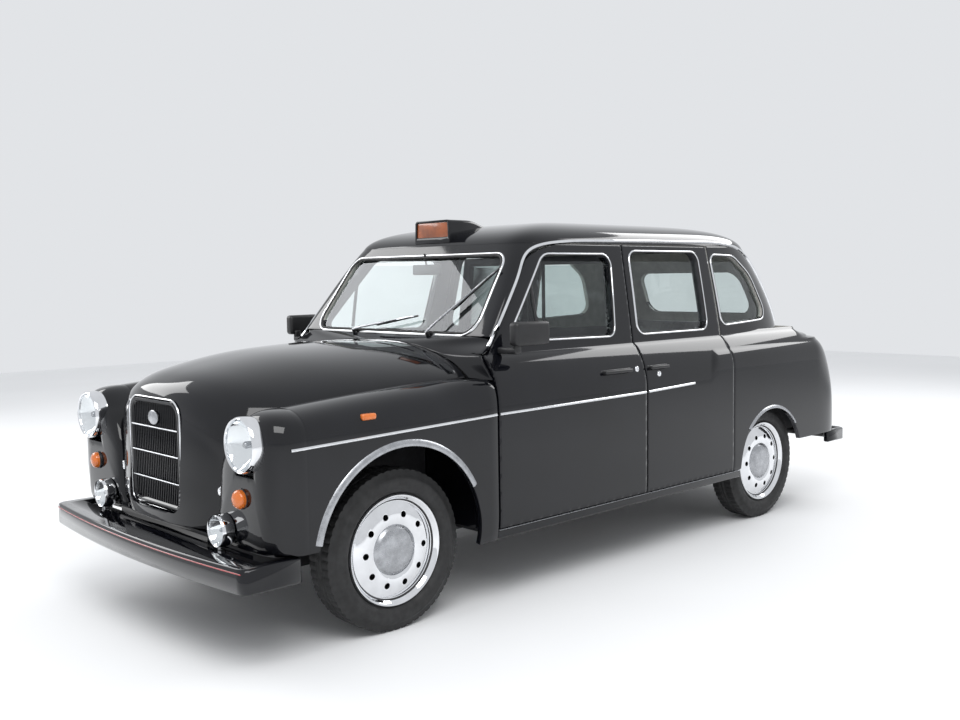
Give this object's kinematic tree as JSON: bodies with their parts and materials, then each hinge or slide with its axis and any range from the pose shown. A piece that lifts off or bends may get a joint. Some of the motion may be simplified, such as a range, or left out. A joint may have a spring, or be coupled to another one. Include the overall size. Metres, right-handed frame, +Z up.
{
  "type": "taxi cab",
  "caption": "Classic black London style taxi cab with opening doors, bonnet and boot lid, steered front wheels and a roof sign.",
  "frame": {"origin": "on the ground under the middle of the cab, halfway between the bumper faces and on its centre line", "axes": "+Z up, the front of the cab faces -Y, +X towards its left side"},
  "size_m": [1.88, 4.58, 1.778],
  "materials": {
    "body_paint": "gloss",
    "underbody_paint": "satin",
    "lamp_chrome": "polished",
    "amber_lens": "gloss",
    "red_lens": "gloss",
    "window_glass": "clear",
    "dash_plastic": "matte",
    "seat_cloth": "woven",
    "trim_panel": "matte",
    "grille_black": "gloss",
    "engine_iron": "cast",
    "exhaust_steel": "dull",
    "wheel_chrome": "polished",
    "tyre_rubber": "rubber"
  },
  "bodies": {
    "cab_body": {"chassis_frame": "underbody_paint", "floor_pan": "underbody_paint", "roof_panel": "body_paint", "left_body_side": "body_paint", "right_body_side": "body_paint", "rear_panel": "body_paint", "scuttle_panel": "body_paint", "left_front_wing": "body_paint", "right_front_wing": "body_paint", "front_valance": "body_paint", "front_bumper": "body_paint", "rear_bumper": "body_paint", "headlamps": "lamp_chrome", "fog_lamps": "lamp_chrome", "indicators": "amber_lens", "tail_lamps": "red_lens", "windscreen": "window_glass", "quarter_windows": "window_glass", "rear_window": "window_glass", "roof_sign": "body_paint", "dashboard": "dash_plastic", "driver_seat": "seat_cloth", "rear_seat": "seat_cloth", "tip_up_seats": "seat_cloth", "partition": "trim_panel", "wipers": "dash_plastic", "engine_block": "engine_iron", "front_suspension": "underbody_paint", "rear_axle": "underbody_paint", "exhaust": "exhaust_steel", "fuel_tank": "underbody_paint"},
    "bonnet": {"bonnet": "body_paint", "radiator_grille": "grille_black"},
    "boot_lid": {"boot_lid": "body_paint"},
    "front_left_door": {"front_left_door": "body_paint", "front_left_glass": "window_glass", "left_mirror": "dash_plastic"},
    "front_right_door": {"front_right_door": "body_paint", "front_right_glass": "window_glass", "right_mirror": "dash_plastic"},
    "rear_left_door": {"rear_left_door": "body_paint", "rear_left_glass": "window_glass"},
    "rear_right_door": {"rear_right_door": "body_paint", "rear_right_glass": "window_glass"},
    "left_knuckle": {"left_knuckle": "underbody_paint"},
    "right_knuckle": {"right_knuckle": "underbody_paint"},
    "steering_wheel": {"steering_wheel": "dash_plastic"},
    "front_left_wheel": {"front_left_wheel": "wheel_chrome", "front_left_tyre": "tyre_rubber"},
    "front_right_wheel": {"front_right_wheel": "wheel_chrome", "front_right_tyre": "tyre_rubber"},
    "rear_left_wheel": {"rear_left_wheel": "wheel_chrome", "rear_left_tyre": "tyre_rubber"},
    "rear_right_wheel": {"rear_right_wheel": "wheel_chrome", "rear_right_tyre": "tyre_rubber"}
  },
  "joints": [
    {"name": "bonnet_hinge", "type": "hinge", "parent": "cab_body", "child": "bonnet", "pos_m": [0, -0.994, 1.182], "axis": [-1, 0, 0], "range_deg": [0, 52]},
    {"name": "boot_lid_hinge", "type": "hinge", "parent": "cab_body", "child": "boot_lid", "pos_m": [0, 1.862, 1.142], "axis": [1, 0, 0], "range_deg": [0, 75]},
    {"name": "front_left_door_hinge", "type": "hinge", "parent": "cab_body", "child": "front_left_door", "pos_m": [0.87, -0.96, 0.8], "axis": [0, 0, -1], "range_deg": [0, 68]},
    {"name": "front_right_door_hinge", "type": "hinge", "parent": "cab_body", "child": "front_right_door", "pos_m": [-0.87, -0.96, 0.8], "axis": [0, 0, 1], "range_deg": [0, 68]},
    {"name": "rear_left_door_hinge", "type": "hinge", "parent": "cab_body", "child": "rear_left_door", "pos_m": [0.87, 0.9, 0.8], "axis": [0, 0, 1], "range_deg": [0, 70]},
    {"name": "rear_right_door_hinge", "type": "hinge", "parent": "cab_body", "child": "rear_right_door", "pos_m": [-0.87, 0.9, 0.8], "axis": [0, 0, -1], "range_deg": [0, 70]},
    {"name": "left_steer", "type": "hinge", "parent": "cab_body", "child": "left_knuckle", "pos_m": [0.636, -1.48, 0.342], "axis": [0, 0, 1], "range_deg": [-38, 38]},
    {"name": "right_steer", "type": "hinge", "parent": "cab_body", "child": "right_knuckle", "pos_m": [-0.636, -1.48, 0.342], "axis": [0, 0, 1], "range_deg": [-38, 38]},
    {"name": "steering_wheel_turn", "type": "hinge", "parent": "cab_body", "child": "steering_wheel", "pos_m": [-0.37, -0.5637, 1.0129], "axis": [0, 0.9, 0.436], "range_deg": [-480, 480]},
    {"name": "front_left_wheel_spin", "type": "hinge", "parent": "left_knuckle", "child": "front_left_wheel", "pos_m": [0.711, -1.48, 0.342], "axis": [1, 0, 0], "continuous": true},
    {"name": "front_right_wheel_spin", "type": "hinge", "parent": "right_knuckle", "child": "front_right_wheel", "pos_m": [-0.711, -1.48, 0.342], "axis": [1, 0, 0], "continuous": true},
    {"name": "rear_left_wheel_spin", "type": "hinge", "parent": "cab_body", "child": "rear_left_wheel", "pos_m": [0.711, 1.33, 0.342], "axis": [1, 0, 0], "continuous": true},
    {"name": "rear_right_wheel_spin", "type": "hinge", "parent": "cab_body", "child": "rear_right_wheel", "pos_m": [-0.711, 1.33, 0.342], "axis": [1, 0, 0], "continuous": true}
  ],
  "couplings": [
    {"joint": "right_steer", "follows": "left_steer", "ratio": 1},
    {"joint": "steering_wheel_turn", "follows": "left_steer", "ratio": 12}
  ]
}
